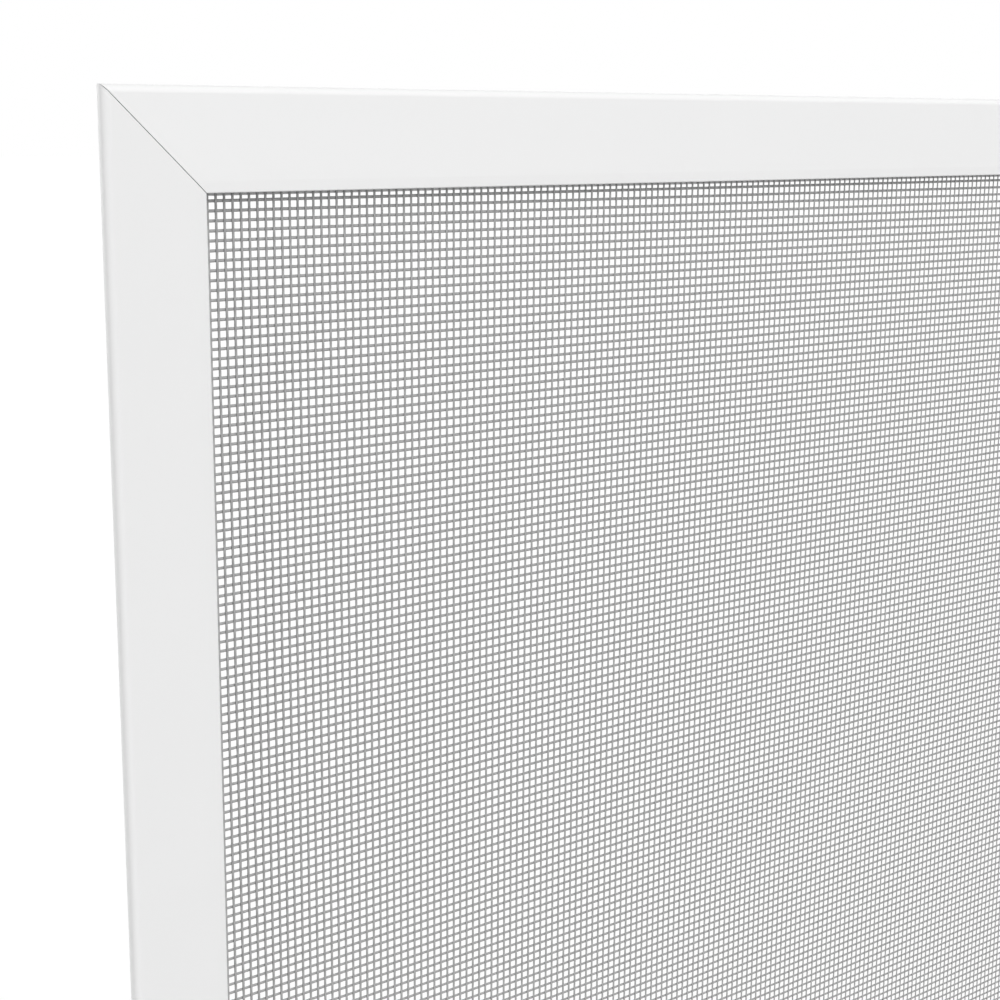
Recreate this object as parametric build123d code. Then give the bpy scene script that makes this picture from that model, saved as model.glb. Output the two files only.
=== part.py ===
from build123d import *
import os
from math import sqrt

# Window insect screen with a slim fixed frame.
# Four hollow aluminium bars are cut at 45 degrees and joined by L-shaped keys inside their chambers.
# The outer lip of each bar lies on the face of the window frame, and a brush in the lip closes the gap.
# The insect mesh is drawn over the edge of a groove in the back of each bar and wedged there by a cord,
# whose flap lies on the mesh and shows as a thin line behind it along the opening.
# Four bent hooks on the rear, two above and two below, grip the window frame from behind.
#
# All sizes are in millimetres. X runs to the right as seen from outside, Y runs back into the room,
# Z is up. The origin is at the middle of the bottom of the whole part.
# On a bar, "in" is the distance from the outer edge of the frame towards the opening,
# and "back" is the distance from the front face towards the room.

# Overall size of the frame over its lips
FRAME_WIDTH = 600.0
FRAME_HEIGHT = 800.0

# Frame bar: an extruded section
FACE_WIDTH = 16.45          # visible front face, outer edge to opening
FACE_WALL = 1.1             # wall behind the front face
FACE_ROUND = 1.2            # rounding of the outer front edge
BEVEL_WIDTH = 1.9           # shallow bevel along the opening
BEVEL_DROP = 0.1
BODY_DEPTH = 10.0           # front face to the rear of the chamber
LIP_WIDTH = 6.2             # overlap on the window frame, outer edge to chamber
CHAMBER_WALL = 1.0
GROOVE_WIDTH = 3.4          # groove for the mesh and its cord
GROOVE_DEPTH = 3.3
GROOVE_WALL = 1.0           # wall between the groove and the opening
NIB_REACH = 0.3             # ridge that keeps the cord in the groove
NIB_HEIGHT = 0.5
SMALL_ROUND = 0.25          # broken edges of the extrusion
JOINT_GAP = 0.07            # each mitred end is this far from the corner's diagonal

# Brush seal and its slot in the back of the lip
BRUSH_BASE_THICKNESS = 0.5
BRUSH_BASE_WIDTH = 4.8
BRUSH_SIDE_PLAY = 0.1
BRUSH_BACK_PLAY = 0.1
SLOT_LIP = 0.4              # thickness of the two lips that hold the brush
SLOT_MOUTH = 3.4
PILE_ROOT = 2.2             # width of the pile where it leaves the base
PILE_TIP = 2.6
PILE_HEIGHT = 5.0
BRUSH_END_GAP = 0.2

# Mesh and the cord that holds it
THREAD = 0.36               # thread diameter, and the mesh's thickness
PITCH_ACROSS = 1.456        # real pitch of the threads, about 17 by 16 to the inch
PITCH_UP = 1.58
GAPS_ACROSS = 8
GAPS_UP = 10
RIDGES_PER_BAND = 2
WEB_THICKNESS = 0.16        # what is left between the ridges of the mesh
MESH_PLAY = 0.05            # mesh to frame, and mesh to cord
MESH_BEND = 0.5             # bend of the mesh over the groove's edge
TUCK_END = 0.9              # the tucked edge stops this far short of the groove's mouth
CORD_ROUND = 1.0
FLAP_REACH = 0.65           # flap of the cord, behind the mesh, this far past the front face's edge
FLAP_THICKNESS = 0.6
CORD_END_GAP = 0.1

# Corner keys
KEY_LEG = 38.0              # length of each leg, from the outer corner of the key
KEY_PLAY = 0.3              # leg to chamber, before the teeth
KEY_DEPTH_PLAY = 0.15
KEY_TOOTH_PLAY = 0.06       # tips of the teeth to chamber
KEY_TEETH = 5
KEY_TOOTH_PITCH = 5.0
KEY_TOOTH_START = 9.0       # from the inner corner to the first tooth
KEY_NOSE = 1.0              # chamfer at the end of a leg

# Hooks that grip the window frame
GRIP = 20.0                 # thickness of window frame that fits between lip and hook
HOOK_SHEET = 1.2
HOOK_BEND = 0.8             # inner radius of the bends
HOOK_WIDTH = 20.0
HOOK_INSET = 130.0          # middle of a hook from the frame's side
TOP_HOOK_REACH = 4.8        # the top hooks reach further, so that the screen lifts in and drops
BOTTOM_HOOK_REACH = 3.0
HOOK_FOOT_LENGTH = 46.0
HOOK_FOOT_MARGIN = 0.1      # foot to the edges of the chamber's rear wall
HOOK_FOOT_CLIP = 1.2        # clipped corners of the foot
HOOK_HOLE = 2.5

# Screws of the hooks, pan head 2.2 x 6.5
SCREW_SHANK = 2.2
SCREW_LENGTH = 6.5
SCREW_POINT = 1.6
SCREW_HEAD = 4.0
SCREW_HEAD_HEIGHT = 1.6
SCREW_HEAD_SLOPE = 0.5      # the top of the head is this much smaller in radius than its foot
SCREW_HOLE = 2.3            # hole in the rear wall of the chamber
SCREW_INSET = 6.0           # screw to the end of the hook's foot

# Places on the bar that follow from the sizes above
SLOT_BACK = FACE_WALL + BRUSH_BASE_THICKNESS + BRUSH_BACK_PLAY
LIP_THICKNESS = SLOT_BACK + SLOT_LIP
SLOT_OUTER = LIP_WIDTH - BRUSH_BASE_WIDTH - 2 * BRUSH_SIDE_PLAY
SLOT_MIDDLE = (SLOT_OUTER + LIP_WIDTH) / 2
GROOVE_INNER = FACE_WIDTH - GROOVE_WALL
GROOVE_OUTER = GROOVE_INNER - GROOVE_WIDTH
CAVITY_OUTER = LIP_WIDTH + CHAMBER_WALL
CAVITY_INNER = GROOVE_OUTER - CHAMBER_WALL
CAVITY_BACK = BODY_DEPTH - CHAMBER_WALL
CHAMBER_MIDDLE = (LIP_WIDTH + GROOVE_OUTER) / 2
SCREW_STEP = HOOK_FOOT_LENGTH / 2 - SCREW_INSET
REST_BACK = FACE_WALL + GROOVE_DEPTH
OPENING_EDGE = FACE_WIDTH + FLAP_REACH
MESH_FRONT = REST_BACK + MESH_PLAY
FLAP_FRONT = MESH_FRONT + THREAD + MESH_PLAY
FLAP_BACK = FLAP_FRONT + FLAP_THICKNESS
HOOK_FRONT = LIP_THICKNESS + GRIP
TOTAL_DEPTH = HOOK_FRONT + HOOK_SHEET
FRONT_Y = -TOTAL_DEPTH / 2

# Each side of the frame: where its bar starts, the way in, the way along, and its length
SIDES = {
    "left": ((-FRAME_WIDTH / 2, FRONT_Y, 0), (1, 0, 0), (0, 0, 1), FRAME_HEIGHT),
    "top": ((-FRAME_WIDTH / 2, FRONT_Y, FRAME_HEIGHT), (0, 0, -1), (1, 0, 0), FRAME_WIDTH),
    "right": ((FRAME_WIDTH / 2, FRONT_Y, FRAME_HEIGHT), (-1, 0, 0), (0, 0, -1), FRAME_HEIGHT),
    "bottom": ((FRAME_WIDTH / 2, FRONT_Y, 0), (0, 0, 1), (-1, 0, 0), FRAME_WIDTH),
}

# Each corner: where it is, and the direction of the first leg of its key
CORNERS = {
    "bottom_left": ((-FRAME_WIDTH / 2, FRONT_Y, 0), (0, 0, 1)),
    "top_left": ((-FRAME_WIDTH / 2, FRONT_Y, FRAME_HEIGHT), (1, 0, 0)),
    "top_right": ((FRAME_WIDTH / 2, FRONT_Y, FRAME_HEIGHT), (0, 0, -1)),
    "bottom_right": ((FRAME_WIDTH / 2, FRONT_Y, 0), (-1, 0, 0)),
}

# Each hook: its side, the distance of its middle along that side, and how far it reaches out
HOOKS = {
    "top_left": ("top", HOOK_INSET, TOP_HOOK_REACH),
    "top_right": ("top", FRAME_WIDTH - HOOK_INSET, TOP_HOOK_REACH),
    "bottom_right": ("bottom", HOOK_INSET, BOTTOM_HOOK_REACH),
    "bottom_left": ("bottom", FRAME_WIDTH - HOOK_INSET, BOTTOM_HOOK_REACH),
}


def side_plane(side):
    """Working plane of a side: its X is the way in, its Y the way back, its Z the way along."""
    start, way_in, along, _ = SIDES[side]
    return Plane(origin=start, x_dir=way_in, z_dir=along)


def wall(in_from, in_to, back_from, back_to):
    """A straight wall of a section, between two distances in and two distances back."""
    middle = Pos((in_from + in_to) / 2, (back_from + back_to) / 2)
    return middle * Rectangle(in_to - in_from, back_to - back_from)


def rounded(section, corners):
    """Rounds the section's corner nearest to each given point by the given radius."""
    for way_in, back, radius in corners:
        nearest = section.vertices().sort_by_distance((way_in, back, 0))[0]
        section = fillet(nearest, radius)
    return section


def mitred(section, length, end_gap):
    """Runs a section along a side and cuts both ends at 45 degrees, end_gap off the corner's diagonal."""
    short = end_gap * sqrt(2)
    reach = OPENING_EDGE + THREAD
    ends = [
        (0, short),
        (reach, reach + short),
        (reach, length - reach - short),
        (0, length - short),
    ]
    outline = Polyline(*[(way_in, 0, along) for way_in, along in ends], close=True)
    keep = extrude(make_face(outline), BODY_DEPTH, dir=(0, 1, 0))
    return extrude(section, length) & keep


def frame_section():
    """Section of the frame bar, with its lip, chamber and groove."""
    face = wall(0, FACE_WIDTH, 0, FACE_WALL)
    rim = wall(0, SLOT_OUTER, 0, LIP_THICKNESS)
    slot_lips = wall(0, SLOT_MIDDLE - SLOT_MOUTH / 2, SLOT_BACK, LIP_THICKNESS)
    slot_lips += wall(SLOT_MIDDLE + SLOT_MOUTH / 2, LIP_WIDTH, SLOT_BACK, LIP_THICKNESS)
    chamber = wall(LIP_WIDTH, GROOVE_OUTER, 0, BODY_DEPTH)
    cavity = wall(CAVITY_OUTER, CAVITY_INNER, FACE_WALL, CAVITY_BACK)
    groove_wall = wall(GROOVE_INNER, FACE_WIDTH, 0, REST_BACK)
    nib = wall(GROOVE_OUTER, GROOVE_OUTER + NIB_REACH, REST_BACK - NIB_HEIGHT, REST_BACK)
    section = face + rim + slot_lips + (chamber - cavity) + groove_wall + nib
    bevel = Polyline(
        (FACE_WIDTH - BEVEL_WIDTH, 0),
        (FACE_WIDTH, 0),
        (FACE_WIDTH, BEVEL_DROP),
        close=True,
    )
    section -= make_face(bevel)
    return rounded(
        section,
        [
            (0, 0, FACE_ROUND),
            (0, LIP_THICKNESS, SMALL_ROUND),
            (FACE_WIDTH, BEVEL_DROP, SMALL_ROUND),
            (LIP_WIDTH, BODY_DEPTH, SMALL_ROUND),
            (GROOVE_OUTER, BODY_DEPTH, SMALL_ROUND),
            (GROOVE_INNER, REST_BACK, MESH_BEND),
            (FACE_WIDTH, REST_BACK, SMALL_ROUND),
        ],
    )


def screw_places(side):
    """Where the hook screws go through a side: distances along it."""
    return [
        along + step
        for hook_side, along, _ in HOOKS.values()
        if hook_side == side
        for step in (-SCREW_STEP, SCREW_STEP)
    ]


def frame_bar(side):
    """One mitred bar of the frame, drilled for the screws of its hooks."""
    bar = mitred(frame_section(), SIDES[side][3], JOINT_GAP)
    drill = Rot(90, 0, 0) * Cylinder(SCREW_HOLE / 2, 3 * CHAMBER_WALL)
    for along in screw_places(side):
        bar -= Pos(CHAMBER_MIDDLE, BODY_DEPTH, along) * drill
    return side_plane(side).location * bar


def corner_key(corner):
    """L-shaped key inside the chambers of two bars, with teeth that grip their walls."""
    origin, first_leg = CORNERS[corner]
    outer = CAVITY_OUTER + KEY_PLAY
    inner = CAVITY_INNER - KEY_PLAY
    tooth = KEY_PLAY - KEY_TOOTH_PLAY
    leg = wall(outer, outer + KEY_LEG, outer, inner)
    leg = chamfer(leg.vertices().group_by(Axis.X)[-1], KEY_NOSE)
    for number in range(KEY_TEETH):
        heel = inner + KEY_TOOTH_START + number * KEY_TOOTH_PITCH
        tip = heel + KEY_TOOTH_PITCH
        for face, way in ((inner, 1), (outer, -1)):
            barb = Polyline((heel, face), (heel, face + way * tooth), (tip, face), close=True)
            leg += make_face(barb)
    other_leg = mirror(leg, about=Plane(origin=(0, 0, 0), z_dir=(1, -1, 0)))
    front = FACE_WALL + KEY_DEPTH_PLAY
    rear = CAVITY_BACK - KEY_DEPTH_PLAY
    key = extrude(leg + other_leg, rear - front)
    frame = Plane(origin=origin, x_dir=first_leg, z_dir=(0, 1, 0))
    return frame.location * (Pos(0, 0, front) * key)


def brush_seal(side):
    """Brush of one side: a flat base in the slot of the lip and the pile that stands on it."""
    base_back = FACE_WALL + BRUSH_BACK_PLAY / 2
    pile_foot = base_back + BRUSH_BASE_THICKNESS
    tip = base_back + BRUSH_BASE_THICKNESS + PILE_HEIGHT
    base = wall(
        SLOT_MIDDLE - BRUSH_BASE_WIDTH / 2,
        SLOT_MIDDLE + BRUSH_BASE_WIDTH / 2,
        base_back,
        pile_foot,
    )
    pile = Polyline(
        (SLOT_MIDDLE - PILE_ROOT / 2, base_back),
        (SLOT_MIDDLE - PILE_ROOT / 2, LIP_THICKNESS),
        (SLOT_MIDDLE - PILE_TIP / 2, tip),
        (SLOT_MIDDLE + PILE_TIP / 2, tip),
        (SLOT_MIDDLE + PILE_ROOT / 2, LIP_THICKNESS),
        (SLOT_MIDDLE + PILE_ROOT / 2, base_back),
        close=True,
    )
    strip = mitred(base + make_face(pile), SIDES[side][3], BRUSH_END_GAP)
    return side_plane(side).location * strip


def retaining_cord(side):
    """Soft cord of one side, pressed into the groove on top of the tucked mesh, with a flap that lies
    on the back of the mesh over the groove's wall."""
    skin = MESH_PLAY + THREAD + MESH_PLAY
    front = FACE_WALL + skin
    outer, inner = GROOVE_OUTER + skin, GROOVE_INNER - skin
    section = wall(outer, inner, front, FLAP_BACK) + wall(outer, OPENING_EDGE, FLAP_FRONT, FLAP_BACK)
    section = rounded(
        section,
        [
            (outer, front, CORD_ROUND),
            (inner, front, CORD_ROUND),
            (outer, FLAP_BACK, SMALL_ROUND),
            (OPENING_EDGE, FLAP_BACK, SMALL_ROUND),
        ],
    )
    return side_plane(side).location * mitred(section, SIDES[side][3], CORD_END_GAP)


def mesh_tuck(side):
    """Edge of the mesh on one side: over the groove's wall, down, under the cord and up again."""
    near = GROOVE_INNER - MESH_PLAY - THREAD / 2
    far = GROOVE_OUTER + MESH_PLAY + THREAD / 2
    floor = FACE_WALL + MESH_PLAY + THREAD / 2
    flat = MESH_FRONT + THREAD / 2
    path = FilletPolyline(
        (OPENING_EDGE, flat),
        (near, flat),
        (near, floor),
        (far, floor),
        (far, REST_BACK - TUCK_END),
        radius=MESH_BEND,
    )
    return side_plane(side).location * mitred(trace(path, THREAD), SIDES[side][3], 0)


def band_lines(count, length):
    """Middles of the bands between count gaps spread over a length, outer edges left out."""
    return [length * (number / count - 0.5) for number in range(1, count)]


def insect_mesh():
    """The mesh as one wall: gaps with the real mesh's open share, bands with ridges along the threads
    on both faces, upright ones in front and level ones behind, and edges tucked into the grooves."""
    open_width = FRAME_WIDTH - 2 * OPENING_EDGE
    open_height = FRAME_HEIGHT - 2 * OPENING_EDGE
    pitch_x = open_width / GAPS_ACROSS
    pitch_z = open_height / GAPS_UP
    band_x = pitch_x * THREAD / PITCH_ACROSS
    band_z = pitch_z * THREAD / PITCH_UP
    ridge_height = (THREAD - WEB_THICKNESS) / 2
    web = Plane.XZ.offset(-(MESH_FRONT + ridge_height)) * Rectangle(open_width, open_height)
    sheet = extrude(web, -WEB_THICKNESS)
    rib_x = band_x / (2 * RIDGES_PER_BAND)
    rib_z = band_z / (2 * RIDGES_PER_BAND)
    steps = [number - (RIDGES_PER_BAND - 1) / 2 for number in range(RIDGES_PER_BAND)]
    upright = Sketch() + [
        Pos(x + 2 * rib_x * step, 0) * Rectangle(rib_x, open_height)
        for x in band_lines(GAPS_ACROSS, open_width)
        for step in steps
    ]
    level = Sketch() + [
        Pos(0, z + 2 * rib_z * step) * Rectangle(open_width, rib_z)
        for z in band_lines(GAPS_UP, open_height)
        for step in steps
    ]
    sheet += extrude(Plane.XZ.offset(-MESH_FRONT) * upright, -ridge_height)
    rear_face = MESH_FRONT + ridge_height + WEB_THICKNESS
    sheet += extrude(Plane.XZ.offset(-rear_face) * level, -ridge_height)
    holes = GridLocations(pitch_x, pitch_z, GAPS_ACROSS, GAPS_UP) * Rectangle(
        pitch_x - band_x, pitch_z - band_z
    )
    cutter = extrude(Plane.XZ.offset(-MESH_FRONT) * (Sketch() + holes), -THREAD)
    sheet = Pos(0, FRONT_Y, FRAME_HEIGHT / 2) * (sheet - cutter)
    for side in SIDES:
        sheet += mesh_tuck(side)
    return sheet


def hook(name):
    """One bent sheet hook: a foot on the rear of the bar, a web going back and a lip reaching out."""
    side, along, reach = HOOKS[name]
    foot_out = LIP_WIDTH + HOOK_FOOT_MARGIN
    foot_in = GROOVE_OUTER - HOOK_FOOT_MARGIN
    middle = HOOK_SHEET / 2
    bend = HOOK_BEND + middle
    path = FilletPolyline(
        (foot_in, BODY_DEPTH + middle),
        (foot_out + middle, BODY_DEPTH + middle),
        (foot_out + middle, HOOK_FRONT + middle),
        (foot_out - reach, HOOK_FRONT + middle),
        radius=bend,
    )
    bent = Pos(0, 0, -HOOK_WIDTH / 2) * extrude(trace(path, HOOK_SHEET), HOOK_WIDTH)
    foot_middle = (foot_out + foot_in) / 2
    foot = Rectangle(foot_in - foot_out, HOOK_FOOT_LENGTH)
    foot = chamfer(foot.vertices(), HOOK_FOOT_CLIP)
    ears = foot - wall(-FACE_WIDTH, FACE_WIDTH, -HOOK_WIDTH / 2, HOOK_WIDTH / 2)
    foot_plane = Plane(origin=(foot_middle, BODY_DEPTH, 0), x_dir=(1, 0, 0), z_dir=(0, 1, 0))
    for step in (-SCREW_STEP, SCREW_STEP):
        ears -= Pos(CHAMBER_MIDDLE - foot_middle, step) * Circle(HOOK_HOLE / 2)
    bracket = bent + extrude(foot_plane * ears, HOOK_SHEET)
    return side_plane(side).location * (Pos(0, 0, along) * bracket)


def screw():
    """Pan-head screw along Z, its head on top and the underside of the head at the origin."""
    half = SCREW_SHANK / 2
    outline = Polyline(
        (0, SCREW_HEAD_HEIGHT),
        (SCREW_HEAD / 2 - SCREW_HEAD_SLOPE, SCREW_HEAD_HEIGHT),
        (SCREW_HEAD / 2, 0),
        (half, 0),
        (half, SCREW_POINT - SCREW_LENGTH),
        (0, -SCREW_LENGTH),
        close=True,
    )
    return revolve(Plane.XZ * make_face(outline), Axis.Z)


def hook_screw(name, step):
    """A hook's screw, in the hole that lies a step along from the hook's middle."""
    side, along, _ = HOOKS[name]
    seat = Pos(CHAMBER_MIDDLE, BODY_DEPTH + HOOK_SHEET, along + step)
    return side_plane(side).location * (seat * (Rot(-90, 0, 0) * screw()))


def build():
    """Every piece of the screen, by name."""
    pieces = {"insect_mesh": insect_mesh()}
    for side in SIDES:
        pieces[f"frame_{side}"] = frame_bar(side)
        pieces[f"brush_seal_{side}"] = brush_seal(side)
        pieces[f"retaining_cord_{side}"] = retaining_cord(side)
    for corner in CORNERS:
        pieces[f"corner_key_{corner}"] = corner_key(corner)
    for name in HOOKS:
        pieces[f"hook_{name}"] = hook(name)
        pieces[f"hook_screw_{name}_1"] = hook_screw(name, -SCREW_STEP)
        pieces[f"hook_screw_{name}_2"] = hook_screw(name, SCREW_STEP)
    return pieces


os.makedirs("parts", exist_ok=True)
for piece_name, piece in build().items():
    export_step(piece, f"parts/{piece_name}.step")
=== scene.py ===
from math import pi, radians, sqrt

import bpy
import numpy as np
from mathutils import Matrix, Vector


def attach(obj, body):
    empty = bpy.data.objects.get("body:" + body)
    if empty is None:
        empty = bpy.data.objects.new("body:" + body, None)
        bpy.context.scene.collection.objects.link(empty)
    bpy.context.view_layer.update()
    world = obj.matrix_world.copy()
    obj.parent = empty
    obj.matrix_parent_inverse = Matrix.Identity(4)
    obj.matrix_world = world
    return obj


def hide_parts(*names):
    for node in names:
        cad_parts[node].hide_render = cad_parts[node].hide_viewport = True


# Looks of a window insect screen: a white powder-coated frame with a hairline at each mitred corner,
# and a grey insect mesh of fine threads drawn over the groove at the back of each bar.
# Everything is in metres. X runs right as seen from outside, Y runs back into the room, Z is up.
# On a bar, "inward" is measured from the frame's outer edge and "back" from its front face.

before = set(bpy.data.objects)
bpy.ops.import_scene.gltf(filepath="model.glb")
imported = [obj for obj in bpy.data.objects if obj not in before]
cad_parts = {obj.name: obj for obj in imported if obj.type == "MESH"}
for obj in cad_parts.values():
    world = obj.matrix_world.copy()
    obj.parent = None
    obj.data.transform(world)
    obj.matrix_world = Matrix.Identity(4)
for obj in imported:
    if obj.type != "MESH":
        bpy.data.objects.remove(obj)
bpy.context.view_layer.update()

MM = 0.001

# Sizes of the frame that the new pieces sit in
HALF_WIDTH = 300 * MM
HEIGHT = 800 * MM
FRONT_Y = -11.65 * MM
GROOVE_INNER = 15.45 * MM
GROOVE_OUTER = 12.05 * MM
FACE_WALL = 1.1 * MM
REST_BACK = 4.4 * MM

# The mesh: its threads, their spacing, and where one crossing near the top left corner lies
UPRIGHT_WIDTH = 0.455 * MM
LEVEL_WIDTH = 0.505 * MM
THREAD_DEPTH = 0.2 * MM
THREAD_SIDES = 6
WEAVE_HEIGHT = 0.06 * MM
CLOTH_THICKNESS = 0.36 * MM
CLOTH_PLAY = 0.05 * MM
PITCH_X = 1.4566 * MM
PITCH_Z = 1.5819 * MM
CROSSING_X = -280.015 * MM
CROSSING_Z = 782.135 * MM
TUCK_BEND = 0.5 * MM
TUCK_END = 0.9 * MM
TUCKED_THREADS = 5

# The cord in the groove, and its flap behind the mesh
CORD_WIDTH = 2.48 * MM
CORD_HEIGHT = 3.0 * MM
CORD_FRONT = 1.56 * MM
CORD_ROUNDNESS = 0.7
CORD_BAR_POINTS = 73
CORD_RIBS = 18
CORD_RIB_HEIGHT = 0.07 * MM
CORD_END_GAP = 0.1 * MM
FLAP_EDGE = 17.1 * MM
FLAP_FRONT = 4.86 * MM
FLAP_BACK = 5.46 * MM
FLAP_ROUND = 0.25 * MM
FLAP_ROUND_POINTS = 5
FLAP_RIB_PITCH = 0.62 * MM
FLAP_RIB_POINTS = 60

# The brush in the lip: a woven base, a core that stands for the dense middle of the pile, and its fibres
BRUSH_MIDDLE = 3.7 * MM
BRUSH_BASE_WIDTH = 4.8 * MM
BRUSH_BASE_FRONT = 1.15 * MM
BRUSH_BASE_BACK = 1.65 * MM
PILE_BACK = 6.65 * MM
PILE_ROOT = 2.2 * MM
PILE_TIP = 2.6 * MM
PILE_ROWS = 5
PILE_SPACING = 0.34 * MM
PILE_END = 1.5 * BRUSH_MIDDLE
CORE_SHARE = 0.4
CORE_BELOW_TIPS = 0.6 * MM
FIBRE_RADIUS = 0.09 * MM
FIBRE_TIP_MARGIN = 0.15 * MM
FIBRE_LEAN = 0.12 * MM
FIBRE_DRIFT = 0.25 * MM
FIBRE_SHORTFALL = 0.5 * MM
BRUSH_END_GAP = 0.2 * MM

# The hooks' screws
SCREW_STEP = 17 * MM
HOOK_X = 170 * MM
SCREW_INWARD = 9.125 * MM
SCREW_SEAT = 11.2 * MM
HEAD_RADIUS = 2.0 * MM
HEAD_HEIGHT = 1.6 * MM
HEAD_DOME = 0.45
HEAD_WALL = 0.4
HEAD_RINGS = 21
CROSS_DEPTH = 0.8 * MM
CROSS_ARM_SLOPE = 0.27 * MM
CROSS_HALF_ARM = 1.6 * CROSS_ARM_SLOPE
CROSS_REACH_SLOPE = 1.15 * MM / 3
CROSS_REACH = 3.2 * CROSS_REACH_SLOPE
SHANK_RADIUS = 1.1 * MM
SHANK_CORE = 0.82 * MM
SHANK_RINGS = 66
CREST_SHARPNESS = 1.6
SCREW_LENGTH = 6.5 * MM
SCREW_CORNERS = 48
THREAD_LEAD = 0.8 * MM
POINT_LENGTH = 1.6 * MM
POINT_BLUNTNESS = 0.02

# The finishes: colours, features per metre of their noise, and heights of their bumps
# Painted light and shade: the rails' white is set lighter than the stiles' white, for the brighter light
# that falls on the rails
STILE_WHITE_PAINTED_SHADE = 0.885
RAIL_WHITE_PAINTED_LIGHT = 0.908
COAT_CLOUDS = 60
COAT_CLOUD_SHADE = 0.008
COAT_RIPPLES = 1400
COAT_RIPPLE_HEIGHT = 0.004 * MM
COAT_ROUGHNESS = 0.55
COAT_GLOSS = 0.3
# Painted shade: a thread's colour is darker where it passes under another thread
THREAD_UNDER_PAINTED_SHADE = (0.369, 0.369, 0.371)
THREAD_OVER = (0.446, 0.446, 0.448)
THREAD_ROUGHNESS = 0.5
FINISH_BUMP_HEIGHT = 0.01 * MM

# The camera of the photograph. Its frame is 1000 pixels wide and high.
PHOTO_SIZE = 1000.0
CAMERA_PLACE = (-393.9 * MM, -248.2 * MM, 796.0 * MM)
CAMERA_AHEAD = (0.57681, 0.79721, -0.17818)
CAMERA_RIGHT = (0.81095, -0.58507, 0.00752)
FOCAL_PIXELS = 1643.2
PRINCIPAL_X = 523.7
PRINCIPAL_Y = 411.8
SENSOR_WIDTH = 36.0
CAMERA_NEAR = 10 * MM

# The sky, and for each lamp where it comes from, its width in degrees and its strength
SKY_STRENGTH = 0.48
LOW_KEY_FROM = (2.75, -9.1, 1.8)
LOW_KEY_ANGLE = 32
LOW_KEY_STRENGTH = 1.18
HIGH_KEY_FROM = (2.75, -9.1, 8.2)
HIGH_KEY_ANGLE = 32
HIGH_KEY_STRENGTH = 0.76
SIDE_FROM = (-8.0, -1.4, 1.2)
SIDE_ANGLE = 25
SIDE_STRENGTH = 1.05
BACK_FROM = (-2.5, 9.0, 3.0)
BACK_ANGLE = 40
BACK_STRENGTH = 1.45

# The floor: a white glow mixed into it for the camera, its colour seen and its colour as it bounces light
FLOOR_RADIUS = 30.0
FLOOR_CORNERS = 96
FLOOR_SHARE = 0.5
FLOOR_WHITE = 1.28
FLOOR_PALE = (0.84, 0.84, 0.84)
FLOOR_BOUNCE = (0.28, 0.28, 0.28)


def new_material(name):
    """An empty node material with a Principled shader, and its links, nodes and shader."""
    material = bpy.data.materials.new(name)
    material.use_nodes = True
    nodes, links = material.node_tree.nodes, material.node_tree.links
    return material, nodes, links, nodes["Principled BSDF"]


def object_noise(nodes, links, scale, detail=2.0, stretch=(1, 1, 1)):
    """Noise on Object coordinates, with the given features per metre and stretch of each axis."""
    place = nodes.new("ShaderNodeTexCoord")
    mapping = nodes.new("ShaderNodeMapping")
    mapping.inputs["Scale"].default_value = stretch
    noise = nodes.new("ShaderNodeTexNoise")
    noise.inputs["Scale"].default_value = scale
    noise.inputs["Detail"].default_value = detail
    links.new(place.outputs["Object"], mapping.inputs["Vector"])
    links.new(mapping.outputs["Vector"], noise.inputs["Vector"])
    return noise.outputs["Fac"]


def colour_between(nodes, links, factor, dark, light):
    """A colour that runs from dark to light with a factor from 0 to 1."""
    mix = nodes.new("ShaderNodeMix")
    mix.data_type = "RGBA"
    mix.inputs["A"].default_value = (*dark, 1)
    mix.inputs["B"].default_value = (*light, 1)
    links.new(factor, mix.inputs["Factor"])
    return mix.outputs["Result"]


def bump_from(nodes, links, height, distance):
    """A bumped normal, where distance is the height of the bumps in metres."""
    bump = nodes.new("ShaderNodeBump")
    bump.inputs["Strength"].default_value = 1.0
    bump.inputs["Distance"].default_value = distance
    links.new(height, bump.inputs["Height"])
    return bump.outputs["Normal"]


def powder_coat(name, white):
    """White powder coat: a faint cloudiness and the fine ripple of the baked powder."""
    material, nodes, links, shader = new_material(name)
    cloud = object_noise(nodes, links, COAT_CLOUDS, 3)
    dark = (white - COAT_CLOUD_SHADE,) * 3
    light = (white + COAT_CLOUD_SHADE,) * 3
    ripple = object_noise(nodes, links, COAT_RIPPLES, 2)
    links.new(colour_between(nodes, links, cloud, dark, light), shader.inputs["Base Color"])
    links.new(bump_from(nodes, links, ripple, COAT_RIPPLE_HEIGHT), shader.inputs["Normal"])
    shader.inputs["Roughness"].default_value = COAT_ROUGHNESS
    shader.inputs["Specular IOR Level"].default_value = COAT_GLOSS
    return material


def maths(nodes, links, operation, *values):
    """A Math node on sockets or numbers."""
    node = nodes.new("ShaderNodeMath")
    node.operation = operation
    for socket, value in zip(node.inputs, values):
        if isinstance(value, bpy.types.NodeSocket):
            links.new(value, socket)
        else:
            socket.default_value = value
    return node.outputs["Value"]


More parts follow.
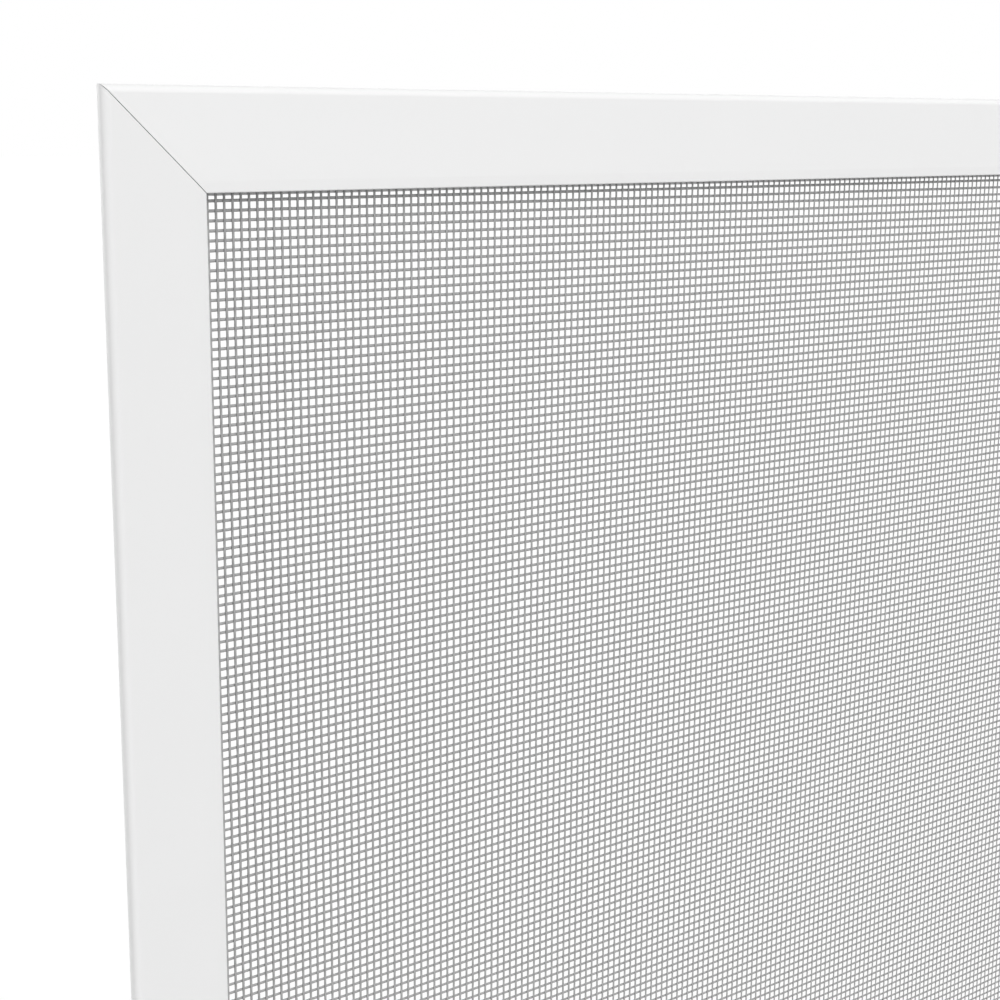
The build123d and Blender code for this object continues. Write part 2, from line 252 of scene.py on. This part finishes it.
def coated_thread():
    """Grey vinyl-coated glass thread. Where a thread passes under another it is lower, by a bump, and
    darker, by painted shade: its rise, from 0 to 1, is 0.5 + 0.5 * weave_side * cos(pi * x / pitch across)
    * cos(pi * z / pitch up), with x and z measured from a crossing."""
    material, nodes, links, shader = new_material("coated_glass_thread")
    place = nodes.new("ShaderNodeTexCoord")
    axes = nodes.new("ShaderNodeSeparateXYZ")
    links.new(place.outputs["Object"], axes.inputs["Vector"])
    waves = []
    for axis, crossing, pitch in (("X", CROSSING_X, PITCH_X), ("Z", CROSSING_Z, PITCH_Z)):
        from_crossing = maths(nodes, links, "SUBTRACT", axes.outputs[axis], crossing)
        turns = maths(nodes, links, "MULTIPLY", from_crossing, pi / pitch)
        waves.append(maths(nodes, links, "COSINE", turns))
    side = nodes.new("ShaderNodeAttribute")
    side.attribute_name = "weave_side"
    both_waves = maths(nodes, links, "MULTIPLY", *waves)
    weave = maths(nodes, links, "MULTIPLY", both_waves, side.outputs["Fac"])
    rise_and_painted_shade = maths(nodes, links, "MULTIPLY_ADD", weave, 0.5, 0.5)
    # Painted shade: the colour runs to the darker thread colour where the rise is low, under a crossing
    # thread
    colour = colour_between(nodes, links, rise_and_painted_shade, THREAD_UNDER_PAINTED_SHADE, THREAD_OVER)
    links.new(colour, shader.inputs["Base Color"])
    links.new(bump_from(nodes, links, rise_and_painted_shade, WEAVE_HEIGHT), shader.inputs["Normal"])
    shader.inputs["Roughness"].default_value = THREAD_ROUGHNESS
    return material


def plain_material(name, dark, light, roughness, scale, metallic=0.0, stretch=(1, 1, 1)):
    """A material whose colour and bump follow one noise."""
    material, nodes, links, shader = new_material(name)
    noise = object_noise(nodes, links, scale, 3, stretch)
    links.new(colour_between(nodes, links, noise, dark, light), shader.inputs["Base Color"])
    links.new(bump_from(nodes, links, noise, FINISH_BUMP_HEIGHT), shader.inputs["Normal"])
    shader.inputs["Roughness"].default_value = roughness
    shader.inputs["Metallic"].default_value = metallic
    return material


def mesh_object(name, points, quads, material, triangles):
    """A smooth mesh from arrays of points, four-cornered faces and triangles."""
    mesh = bpy.data.meshes.new(name)
    mesh.from_pydata(points.tolist(), [], quads.tolist() + triangles.tolist())
    mesh.polygons.foreach_set("use_smooth", np.ones(len(mesh.polygons), dtype=bool))
    mesh.materials.append(material)
    mesh.update()
    piece = bpy.data.objects.new(name, mesh)
    bpy.context.scene.collection.objects.link(piece)
    return piece


def tubes(lines, across, deep, half_width, half_depth):
    """Tubes along many lines at once.

    lines has the shape (tubes, points, 3), and across and deep are unit directions at each point.
    A point of a tube is line + half_width * cos(angle) * across + half_depth * sin(angle) * deep,
    with the angle going once round. Both ends are closed by a fan about the line's end point."""
    count, steps, _ = lines.shape
    sides = THREAD_SIDES
    angle = 2 * pi * np.arange(sides) / sides
    ring = (
        half_width * np.cos(angle)[:, None] * across[:, :, None, :]
        + half_depth * np.sin(angle)[:, None] * deep[:, :, None, :]
    )
    skin = lines[:, :, None, :] + ring
    per_tube = steps * sides + 2
    points = np.concatenate([skin.reshape(count, -1, 3), lines[:, :1], lines[:, -1:]], axis=1)
    step, side = np.meshgrid(np.arange(steps - 1), np.arange(sides), indexing="ij")
    a = step * sides + side
    b = step * sides + (side + 1) % sides
    walls = np.stack([a, b, b + sides, a + sides], -1).reshape(-1, 4)
    first, last = steps * sides, steps * sides + 1
    around = np.arange(sides)
    after = (around + 1) % sides
    tail = (steps - 1) * sides
    near_end = np.stack([after, around, np.full(sides, first)], -1)
    far_end = np.stack([around + tail, after + tail, np.full(sides, last)], -1)
    offsets = np.arange(count)[:, None, None] * per_tube
    quads = (walls[None] + offsets).reshape(-1, 4)
    fans = (np.concatenate([near_end, far_end])[None] + offsets).reshape(-1, 3)
    return points.reshape(-1, 3), quads, fans


def place_on_side(side, inward, back, along):
    """Points in the shared frame from their place on a bar: inward from the outer edge, back from the
    face, and along the bar from its start, all arrays of one shape."""
    starts = {
        "left": ((-HALF_WIDTH, 0), (1, 0), (0, 1)),
        "top": ((-HALF_WIDTH, HEIGHT), (0, -1), (1, 0)),
        "right": ((HALF_WIDTH, HEIGHT), (-1, 0), (0, -1)),
        "bottom": ((HALF_WIDTH, 0), (0, 1), (-1, 0)),
    }
    (x0, z0), (in_x, in_z), (on_x, on_z) = starts[side]
    x = x0 + in_x * inward + on_x * along
    z = z0 + in_z * inward + on_z * along
    return np.stack([x, FRONT_Y + back, z], -1)


def side_length(side):
    """Length of a side's outer edge."""
    return HEIGHT if side in ("left", "right") else 2 * HALF_WIDTH


def unit(vectors):
    """Vectors scaled to length one."""
    return vectors / np.linalg.norm(vectors, axis=-1, keepdims=True)


def tuck_profile():
    """The cloth's edge in a groove, as (inward, back) from its cut edge to the start of the flat: up out
    of the groove's far side, along its floor, up the near wall and over it. Each corner is a quarter arc,
    centre + bend * (cos, sin), with four points on the last, which shows, and two on the others."""
    half = CLOTH_THICKNESS / 2
    near = GROOVE_INNER - CLOTH_PLAY - half
    far = GROOVE_OUTER + CLOTH_PLAY + half
    floor = FACE_WALL + CLOTH_PLAY + half
    flat = REST_BACK + CLOTH_PLAY + half
    corners = (
        ((far + TUCK_BEND, floor + TUCK_BEND), (pi, 1.5 * pi), 2),
        ((near - TUCK_BEND, floor + TUCK_BEND), (1.5 * pi, 2 * pi), 2),
        ((near + TUCK_BEND, flat - TUCK_BEND), (pi, 0.5 * pi), 4),
    )
    points = [(far, REST_BACK - TUCK_END)]
    for (inward, back), (start, end), count in corners:
        turn = np.linspace(start, end, count)
        points += list(zip(inward + TUCK_BEND * np.cos(turn), back + TUCK_BEND * np.sin(turn)))
    return np.array(points)


def crossing_threads(positions, upright):
    """Threads that cross the whole opening and are tucked in at both ends, one for each position.

    A line is the tuck profile, the flat, and the profile again backwards from the other end. The level
    threads lie behind the upright ones, each a little off the middle of the cloth."""
    profile = tuck_profile()
    span = HEIGHT if upright else 2 * HALF_WIDTH
    start = 0 if upright else -HALF_WIDTH
    runs = np.concatenate([start + profile[:, 0], start + span - profile[::-1, 0]])
    backs = FRONT_Y + np.concatenate([profile[:, 1], profile[::-1, 1]])
    tangent = unit(np.gradient(np.stack([runs, backs], -1), axis=0))
    count, steps = len(positions), len(runs)
    run_axis = np.array([0, 0, 1.0]) if upright else np.array([1.0, 0, 0])
    back_axis = np.array([0, 1.0, 0])
    side_axis = np.array([1.0, 0, 0]) if upright else np.array([0, 0, 1.0])
    forward = tangent[:, :1] * run_axis + tangent[:, 1:] * back_axis
    deep = tangent[:, :1] * back_axis - tangent[:, 1:] * run_axis
    across = np.cross(deep, forward)
    off_middle = (CLOTH_THICKNESS - THREAD_DEPTH) / 2 * (-1 if upright else 1)
    width = UPRIGHT_WIDTH if upright else LEVEL_WIDTH
    line = runs[:, None] * run_axis + backs[:, None] * back_axis + off_middle * deep
    lines = line[None] + np.asarray(positions)[:, None, None] * side_axis
    across = np.broadcast_to(across, (count, steps, 3))
    deep = np.broadcast_to(deep, (count, steps, 3))
    return tubes(lines, across, deep, width / 2, THREAD_DEPTH / 2)


def tucked_threads(side):
    """The threads that run along a side inside the tuck. They are evenly spaced down its profile, as
    straight tubes cut at 45 degrees."""
    profile = tuck_profile()[::-1]
    steps = np.linalg.norm(np.diff(profile, axis=0), axis=1)
    reach = np.concatenate([[0], np.cumsum(steps)])
    wanted = (np.arange(TUCKED_THREADS) + 0.5) * reach[-1] / TUCKED_THREADS
    inward = np.interp(wanted, reach, profile[:, 0])
    back = np.interp(wanted, reach, profile[:, 1])
    starts = place_on_side(side, inward, back, inward)
    ends = place_on_side(side, inward, back, side_length(side) - inward)
    lines = np.stack([starts, ends], axis=1)
    forward = unit(lines[:, 1:] - lines[:, :1])
    deep = np.broadcast_to(np.array([0, 1.0, 0]), lines.shape)
    across = np.cross(deep, np.broadcast_to(forward, lines.shape))
    return tubes(lines, across, deep, THREAD_DEPTH / 2, THREAD_DEPTH / 2)


def merged(parts):
    """One set of points, quads and triangles from several, with the faces renumbered."""
    points, quads, fans, so_far = [], [], [], 0
    for part_points, part_quads, part_fans in parts:
        points.append(part_points)
        quads.append(part_quads + so_far)
        fans.append(part_fans + so_far)
        so_far += len(part_points)
    return np.concatenate(points), np.concatenate(quads), np.concatenate(fans)


def threads_between(crossing, pitch, low, high):
    """Places of threads, crossing + pitch * a whole number, that lie between low and high."""
    first = np.floor((low - crossing) / pitch) + 1
    last = np.ceil((high - crossing) / pitch)
    return crossing + pitch * np.arange(first, last)


def woven_mesh(material):
    """The insect mesh: fine threads both ways at their real spacing, tucked into the grooves."""
    last_x = HALF_WIDTH - GROOVE_INNER
    xs = threads_between(CROSSING_X, PITCH_X, -last_x, last_x)
    zs = threads_between(CROSSING_Z, PITCH_Z, GROOVE_INNER, HEIGHT - GROOVE_INNER)
    upright = crossing_threads(xs, True)
    level = crossing_threads(zs, False)
    tucked = [tucked_threads(side) for side in ("left", "top", "right", "bottom")]
    points, quads, fans = merged([upright, level, *tucked])
    piece = mesh_object("woven_mesh", points, quads, material, fans)
    weave_side = np.ones(len(points), dtype=np.float32)
    weave_side[len(upright[0]):] = -1
    attribute = piece.data.attributes.new("weave_side", "FLOAT", "POINT")
    attribute.data.foreach_set("value", weave_side)
    return piece


def strip_along(side, section, hub, end_gap):
    """A closed section of (inward, back) points carried along a side and cut at 45 degrees at both ends.
    Along the bar a point starts at inward + end_gap * sqrt(2) and stops as far from the other end. Each
    end is closed by a fan about the hub, a point inside the section that sees all of its outline."""
    count = len(section)
    inward, back = np.concatenate([section, [hub]]).T
    short = inward + end_gap * sqrt(2)
    near = place_on_side(side, inward, back, short)
    far = place_on_side(side, inward, back, side_length(side) - short)
    points = np.concatenate([near[:-1], far[:-1], near[-1:], far[-1:]])
    a = np.arange(count)
    b = (a + 1) % count
    quads = np.stack([a, b, b + count, a + count], -1)
    near_end = np.stack([b, a, np.full(count, 2 * count)], -1)
    far_end = np.stack([a + count, b + count, np.full(count, 2 * count + 1)], -1)
    return points, quads, np.concatenate([near_end, far_end])


def flap_corner(inward, back, start):
    """A quarter arc of the flap's outline, centre + round * (cos, sin), from a start angle."""
    turn = np.linspace(start, start + pi / 2, FLAP_ROUND_POINTS)
    return np.stack([inward + FLAP_ROUND * np.cos(turn), back + FLAP_ROUND * np.sin(turn)], -1)


def ribbed_cord(side, material):
    """The soft cord of a groove, with its flap over the mesh.

    Its front half is half a rounded bar, (w * c, h * s), with w and h half its width and height, and c and
    s the cosine and sine to the power of its roundness, with their signs kept. Both are multiplied by
    1 - rib height / w * (1 - cos(ribs * angle)) / 2, for ribs that run along it. Its back is flat and drawn
    in by rib height * (1 - cos(2 * pi * inward / pitch)) / 2, and the flap's free edge is rounded."""
    middle = (GROOVE_INNER + GROOVE_OUTER) / 2
    half = CORD_WIDTH / 2
    angle = np.linspace(pi, 2 * pi, CORD_BAR_POINTS)
    rib = 1 - CORD_RIB_HEIGHT / half * (0.5 - 0.5 * np.cos(CORD_RIBS * angle))
    cosine, sine = np.cos(angle), np.sin(angle)
    inward = middle + half * rib * np.sign(cosine) * np.abs(cosine) ** CORD_ROUNDNESS
    back = CORD_FRONT + CORD_HEIGHT / 2 * (1 - rib * np.abs(sine) ** CORD_ROUNDNESS)
    bar = np.stack([inward, back], -1)
    under_flap = np.array([(middle + half, FLAP_FRONT)])
    edge, far_side = FLAP_EDGE - FLAP_ROUND, middle - half + FLAP_ROUND
    tip_front = flap_corner(edge, FLAP_FRONT + FLAP_ROUND, -pi / 2)
    tip_back = flap_corner(edge, FLAP_BACK - FLAP_ROUND, 0)
    far_back = flap_corner(far_side, FLAP_BACK - FLAP_ROUND, pi / 2)
    ribs_in = np.linspace(edge, far_side, FLAP_RIB_POINTS + 2)[1:-1]
    ribs_back = FLAP_BACK - CORD_RIB_HEIGHT * (0.5 - 0.5 * np.cos(2 * pi * ribs_in / FLAP_RIB_PITCH))
    ribs = np.stack([ribs_in, ribs_back], -1)
    section = np.concatenate([bar, under_flap, tip_front, tip_back, ribs, far_back])
    hub = (middle, (FLAP_FRONT + FLAP_BACK) / 2)
    points, quads, fans = strip_along(side, section, hub, CORD_END_GAP)
    return mesh_object(f"ribbed_cord_{side}", points, quads, material, fans)


def brush(side, material, seed):
    """A brush: a flat woven base, a dense core, and fibres that lean and end unevenly over it.

    A fibre is a thin three-sided spike from a foot on the base to a tip near the pile's end. Feet lie in
    rows, each moved along by up to half a spacing. Tips are spread a little wider, moved by seeded normal
    amounts, and short of the pile's end by shortfall * (a random share)^2."""
    draw = np.random.default_rng(seed)
    half = BRUSH_BASE_WIDTH / 2
    base = np.array([
        (BRUSH_MIDDLE - half, BRUSH_BASE_FRONT), (BRUSH_MIDDLE + half, BRUSH_BASE_FRONT),
        (BRUSH_MIDDLE + half, BRUSH_BASE_BACK), (BRUSH_MIDDLE - half, BRUSH_BASE_BACK),
    ])
    root, tip = CORE_SHARE * PILE_ROOT, CORE_SHARE * PILE_TIP
    core_back = PILE_BACK - CORE_BELOW_TIPS
    core = np.array([
        (BRUSH_MIDDLE - root, BRUSH_BASE_BACK), (BRUSH_MIDDLE + root, BRUSH_BASE_BACK),
        (BRUSH_MIDDLE + tip, core_back), (BRUSH_MIDDLE - tip, core_back),
    ])
    stations = np.arange(PILE_END, side_length(side) - PILE_END, PILE_SPACING)
    along, row = np.meshgrid(stations, np.linspace(-1, 1, PILE_ROWS), indexing="ij")
    along, row = along.ravel(), row.ravel()
    count = len(along)
    along = along + draw.uniform(-0.5, 0.5, count) * PILE_SPACING
    foot_in = BRUSH_MIDDLE + row * (PILE_ROOT / 2 - FIBRE_RADIUS)
    lean = draw.normal(0, FIBRE_LEAN, count)
    spread = row * (PILE_TIP / 2 - FIBRE_TIP_MARGIN) + lean
    tip_in = BRUSH_MIDDLE + np.clip(spread, -PILE_TIP / 2, PILE_TIP / 2)
    tip_along = along + draw.normal(0, FIBRE_DRIFT, count)
    tip_back = PILE_BACK - FIBRE_SHORTFALL * draw.uniform(0, 1, count) ** 2
    turn = draw.uniform(0, 2 * pi, count)[:, None] + 2 * pi * np.arange(3) / 3
    feet = place_on_side(
        side,
        foot_in[:, None] + FIBRE_RADIUS * np.cos(turn),
        np.full((count, 3), BRUSH_BASE_BACK),
        along[:, None] + FIBRE_RADIUS * np.sin(turn),
    )
    tips = place_on_side(side, tip_in, tip_back, tip_along)
    corners = np.concatenate([feet, tips[:, None]], axis=1).reshape(-1, 3)
    spike = np.array([(0, 1, 3), (1, 2, 3), (2, 0, 3), (0, 2, 1)])
    spikes = (spike[None] + 4 * np.arange(count)[:, None, None]).reshape(-1, 3)
    parts = [
        strip_along(side, base, base.mean(axis=0), BRUSH_END_GAP),
        strip_along(side, core, core.mean(axis=0), BRUSH_END_GAP),
        (corners, np.zeros((0, 4), int), spikes),
    ]
    points, quads, fans = merged(parts)
    return mesh_object(f"brush_{side}", points, quads, material, fans)


def screw_surface():
    """A pan-head tapping screw about Z, head up, as one closed grid of rings.

    The head's top is a dome, height * (1 - dome * (r / radius)^4), with a cross sunk into it. With near and
    far the smaller and the larger of |x| and |y|, the cross is its depth * (half arm - near) / arm slope
    * (reach - far) / reach slope, each quotient kept from 0 to 1. The shank's radius is core + (crest -
    core) * (1 - sharpness * (1 - cos(phase))), kept from core to crest, with phase = angle + 2 * pi * depth
    / lead, and it shrinks evenly to the point."""
    around = 2 * pi * np.arange(SCREW_CORNERS) / SCREW_CORNERS
    rim = np.stack([np.cos(around), np.sin(around), np.zeros(SCREW_CORNERS)], -1)
    rings = []
    for share in np.linspace(0, 1, HEAD_RINGS + 1)[1:]:
        ring = HEAD_RADIUS * share * rim
        near, far = np.sort(np.abs(ring[:, :2]), axis=1).T
        across_arm = np.clip((CROSS_HALF_ARM - near) / CROSS_ARM_SLOPE, 0, 1)
        along_arm = np.clip((CROSS_REACH - far) / CROSS_REACH_SLOPE, 0, 1)
        ring[:, 2] = HEAD_HEIGHT * (1 - HEAD_DOME * share ** 4) - CROSS_DEPTH * across_arm * along_arm
        rings.append(ring)
    rings += [rim * HEAD_RADIUS + (0, 0, level) for level in (HEAD_WALL * HEAD_HEIGHT, 0)]
    for depth in np.linspace(0, SCREW_LENGTH, SHANK_RINGS):
        taper = np.clip((SCREW_LENGTH - depth) / POINT_LENGTH, POINT_BLUNTNESS, 1)
        phase = around + 2 * pi * depth / THREAD_LEAD
        crest = np.clip(1 - CREST_SHARPNESS * (1 - np.cos(phase)), 0, 1)
        radius = (SHANK_CORE + (SHANK_RADIUS - SHANK_CORE) * crest) * taper
        rings.append(rim * radius[:, None] - (0, 0, depth))
    return np.stack(rings)


def screw(name, x, side, material):
    """One screw of a hook, its head on the hook's foot. The rings of the screw's surface are joined in
    turn, and both ends are closed by a fan about the middle of the end ring."""
    rings = screw_surface()
    count, around, _ = rings.shape
    centre_top = rings[0].mean(axis=0)
    centre_end = rings[-1].mean(axis=0)
    local = np.concatenate([rings.reshape(-1, 3), [centre_top, centre_end]])
    z = HEIGHT - SCREW_INWARD if side == "top" else SCREW_INWARD
    points = np.stack([x + local[:, 0], FRONT_Y + SCREW_SEAT + local[:, 2], z - local[:, 1]], -1)
    ring, step = np.meshgrid(np.arange(count - 1), np.arange(around), indexing="ij")
    a = ring * around + step
    b = ring * around + (step + 1) % around
    quads = np.stack([b, a, a + around, b + around], -1).reshape(-1, 4)
    first, after = np.arange(around), (np.arange(around) + 1) % around
    tail = (count - 1) * around
    top_fan = np.stack([first, after, np.full(around, count * around)], -1)
    end_fan = np.stack([after + tail, first + tail, np.full(around, count * around + 1)], -1)
    return mesh_object(name, points, quads, material, np.concatenate([top_fan, end_fan]))


# Lit and shaded copies of one white powder coat: painted light on the rails, painted shade on the stiles
stile_coat_painted_shade = powder_coat("white_coat_painted_shade_on_stiles", STILE_WHITE_PAINTED_SHADE)
rail_coat_painted_light = powder_coat("white_coat_painted_light_on_rails", RAIL_WHITE_PAINTED_LIGHT)
thread = coated_thread()
cord_skin = plain_material(
    "white_soft_cord", (0.86, 0.86, 0.86), (0.91, 0.91, 0.91), roughness=0.55, scale=900,
)
pile = plain_material(
    "grey_pile", (0.2, 0.2, 0.205), (0.34, 0.34, 0.345), roughness=0.9, scale=3000,
)
nylon = plain_material(
    "black_nylon", (0.02, 0.02, 0.02), (0.035, 0.035, 0.035), roughness=0.5, scale=800,
)
steel = plain_material(
    "rolled_steel", (0.5, 0.49, 0.47), (0.62, 0.61, 0.59), roughness=0.32, scale=500,
    metallic=1.0, stretch=(1, 1, 30),
)
screw_steel = plain_material(
    "screw_steel", (0.5, 0.49, 0.48), (0.64, 0.63, 0.61), roughness=0.28, scale=2500, metallic=1.0,
)

finishes = {
    "frame_left": stile_coat_painted_shade,
    "frame_right": stile_coat_painted_shade,
    "frame_top": rail_coat_painted_light,
    "frame_bottom": rail_coat_painted_light,
    "retaining": cord_skin,
    "insect": thread,
    "brush": pile,
    "corner": nylon,
    "hook_screw": screw_steel,
    "hook": steel,
}
for name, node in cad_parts.items():
    finish = next(finishes[start] for start in finishes if name.startswith(start))
    node.data.materials.clear()
    node.data.materials.append(finish)


mesh = woven_mesh(thread)
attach(mesh, "root")
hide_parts("insect_mesh")
tuck_length = np.linalg.norm(np.diff(tuck_profile(), axis=0), axis=1).sum()

for number, side in enumerate(("left", "top", "right", "bottom")):
    cord = ribbed_cord(side, cord_skin)
    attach(cord, "root")
    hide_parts(f"retaining_cord_{side}")
    seal = brush(side, pile, number)
    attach(seal, "root")
    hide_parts(f"brush_seal_{side}")

for side in ("top", "bottom"):
    for hand, sign in (("left", -1), ("right", 1)):
        for number, step in ((1, -1), (2, 1)):
            along = step if side == "top" else -step
            x = sign * HOOK_X + along * SCREW_STEP
            piece = screw(f"screw_{side}_{hand}_{number}", x, side, screw_steel)
            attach(piece, "root")
            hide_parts(f"hook_screw_{side}_{hand}_{number}")


def seen_directly(nodes, links):
    """One for rays from the camera, from a reflection or through glass, and zero for those that light."""
    rays = nodes.new("ShaderNodeLightPath").outputs
    mirror = maths(nodes, links, "MAXIMUM", rays["Is Glossy Ray"], rays["Is Transmission Ray"])
    return maths(nodes, links, "MAXIMUM", rays["Is Camera Ray"], mirror)


def world_light():
    """White to the camera and in reflections, and a soft even light on everything else."""
    world = bpy.data.worlds.new("studio")
    bpy.context.scene.world = world
    world.use_nodes = True
    nodes, links = world.node_tree.nodes, world.node_tree.links
    background = nodes["Background"]
    strength = nodes.new("ShaderNodeMix")
    strength.inputs["A"].default_value = SKY_STRENGTH
    strength.inputs["B"].default_value = 1.0
    links.new(seen_directly(nodes, links), strength.inputs["Factor"])
    links.new(strength.outputs["Result"], background.inputs["Strength"])
    background.inputs["Color"].default_value = (1, 1, 1, 1)


def pale_floor():
    """A flat disc under the screen, radius * (cos, sin), white to the camera where it is lit and a little
    darker in shade."""
    material, nodes, links, shader = new_material("pale_floor")
    shader.inputs["Roughness"].default_value = 0.9
    shader.inputs["Specular IOR Level"].default_value = 0.0
    seen = seen_directly(nodes, links)
    links.new(colour_between(nodes, links, seen, FLOOR_BOUNCE, FLOOR_PALE), shader.inputs["Base Color"])
    white_light = nodes.new("ShaderNodeEmission")
    white_light.inputs["Strength"].default_value = FLOOR_WHITE
    share = maths(nodes, links, "MULTIPLY", seen, FLOOR_SHARE)
    mix = nodes.new("ShaderNodeMixShader")
    links.new(share, mix.inputs["Fac"])
    links.new(shader.outputs["BSDF"], mix.inputs[1])
    links.new(white_light.outputs["Emission"], mix.inputs[2])
    links.new(mix.outputs["Shader"], nodes["Material Output"].inputs["Surface"])
    around = np.arange(FLOOR_CORNERS)
    angle = 2 * pi * around / FLOOR_CORNERS
    rim = FLOOR_RADIUS * np.stack([np.cos(angle), np.sin(angle), np.zeros(FLOOR_CORNERS)], -1)
    fan = np.stack([around, (around + 1) % FLOOR_CORNERS, np.full(FLOOR_CORNERS, FLOOR_CORNERS)], -1)
    points = np.concatenate([rim, [(0, 0, 0)]])
    floor = mesh_object("floor", points, np.zeros((0, 4), int), material, fan)


def far_soft_lamp(name, come_from, angle, strength):
    """A soft lamp too far away to fall off over the object, from a direction, and as wide as an angle in
    degrees."""
    lamp = bpy.data.lights.new(name, "SUN")
    lamp.angle = radians(angle)
    lamp.energy = strength
    holder = bpy.data.objects.new(name, lamp)
    holder.rotation_euler = (-Vector(come_from)).to_track_quat("-Z", "Y").to_euler()
    bpy.context.scene.collection.objects.link(holder)


def photo_camera():
    """The camera at the photograph's place, with its view down to the pixel."""
    data = bpy.data.cameras.new("camera")
    data.sensor_width = SENSOR_WIDTH
    data.lens = FOCAL_PIXELS / PHOTO_SIZE * SENSOR_WIDTH
    data.shift_x = (PHOTO_SIZE / 2 - PRINCIPAL_X) / PHOTO_SIZE
    data.shift_y = (PRINCIPAL_Y - PHOTO_SIZE / 2) / PHOTO_SIZE
    data.clip_start = CAMERA_NEAR
    camera = bpy.data.objects.new("camera", data)
    ahead = Vector(CAMERA_AHEAD).normalized()
    above = Vector(CAMERA_RIGHT).cross(ahead).normalized()
    turn = Matrix((ahead.cross(above), above, -ahead)).transposed()
    camera.matrix_world = Matrix.Translation(CAMERA_PLACE) @ turn.to_4x4()
    bpy.context.scene.collection.objects.link(camera)
    bpy.context.scene.camera = camera


world_light()
pale_floor()
far_soft_lamp("low_key", LOW_KEY_FROM, LOW_KEY_ANGLE, LOW_KEY_STRENGTH)
far_soft_lamp("high_key", HIGH_KEY_FROM, HIGH_KEY_ANGLE, HIGH_KEY_STRENGTH)
far_soft_lamp("side", SIDE_FROM, SIDE_ANGLE, SIDE_STRENGTH)
far_soft_lamp("back", BACK_FROM, BACK_ANGLE, BACK_STRENGTH)
photo_camera()

bpy.context.scene.view_settings.view_transform = "Standard"
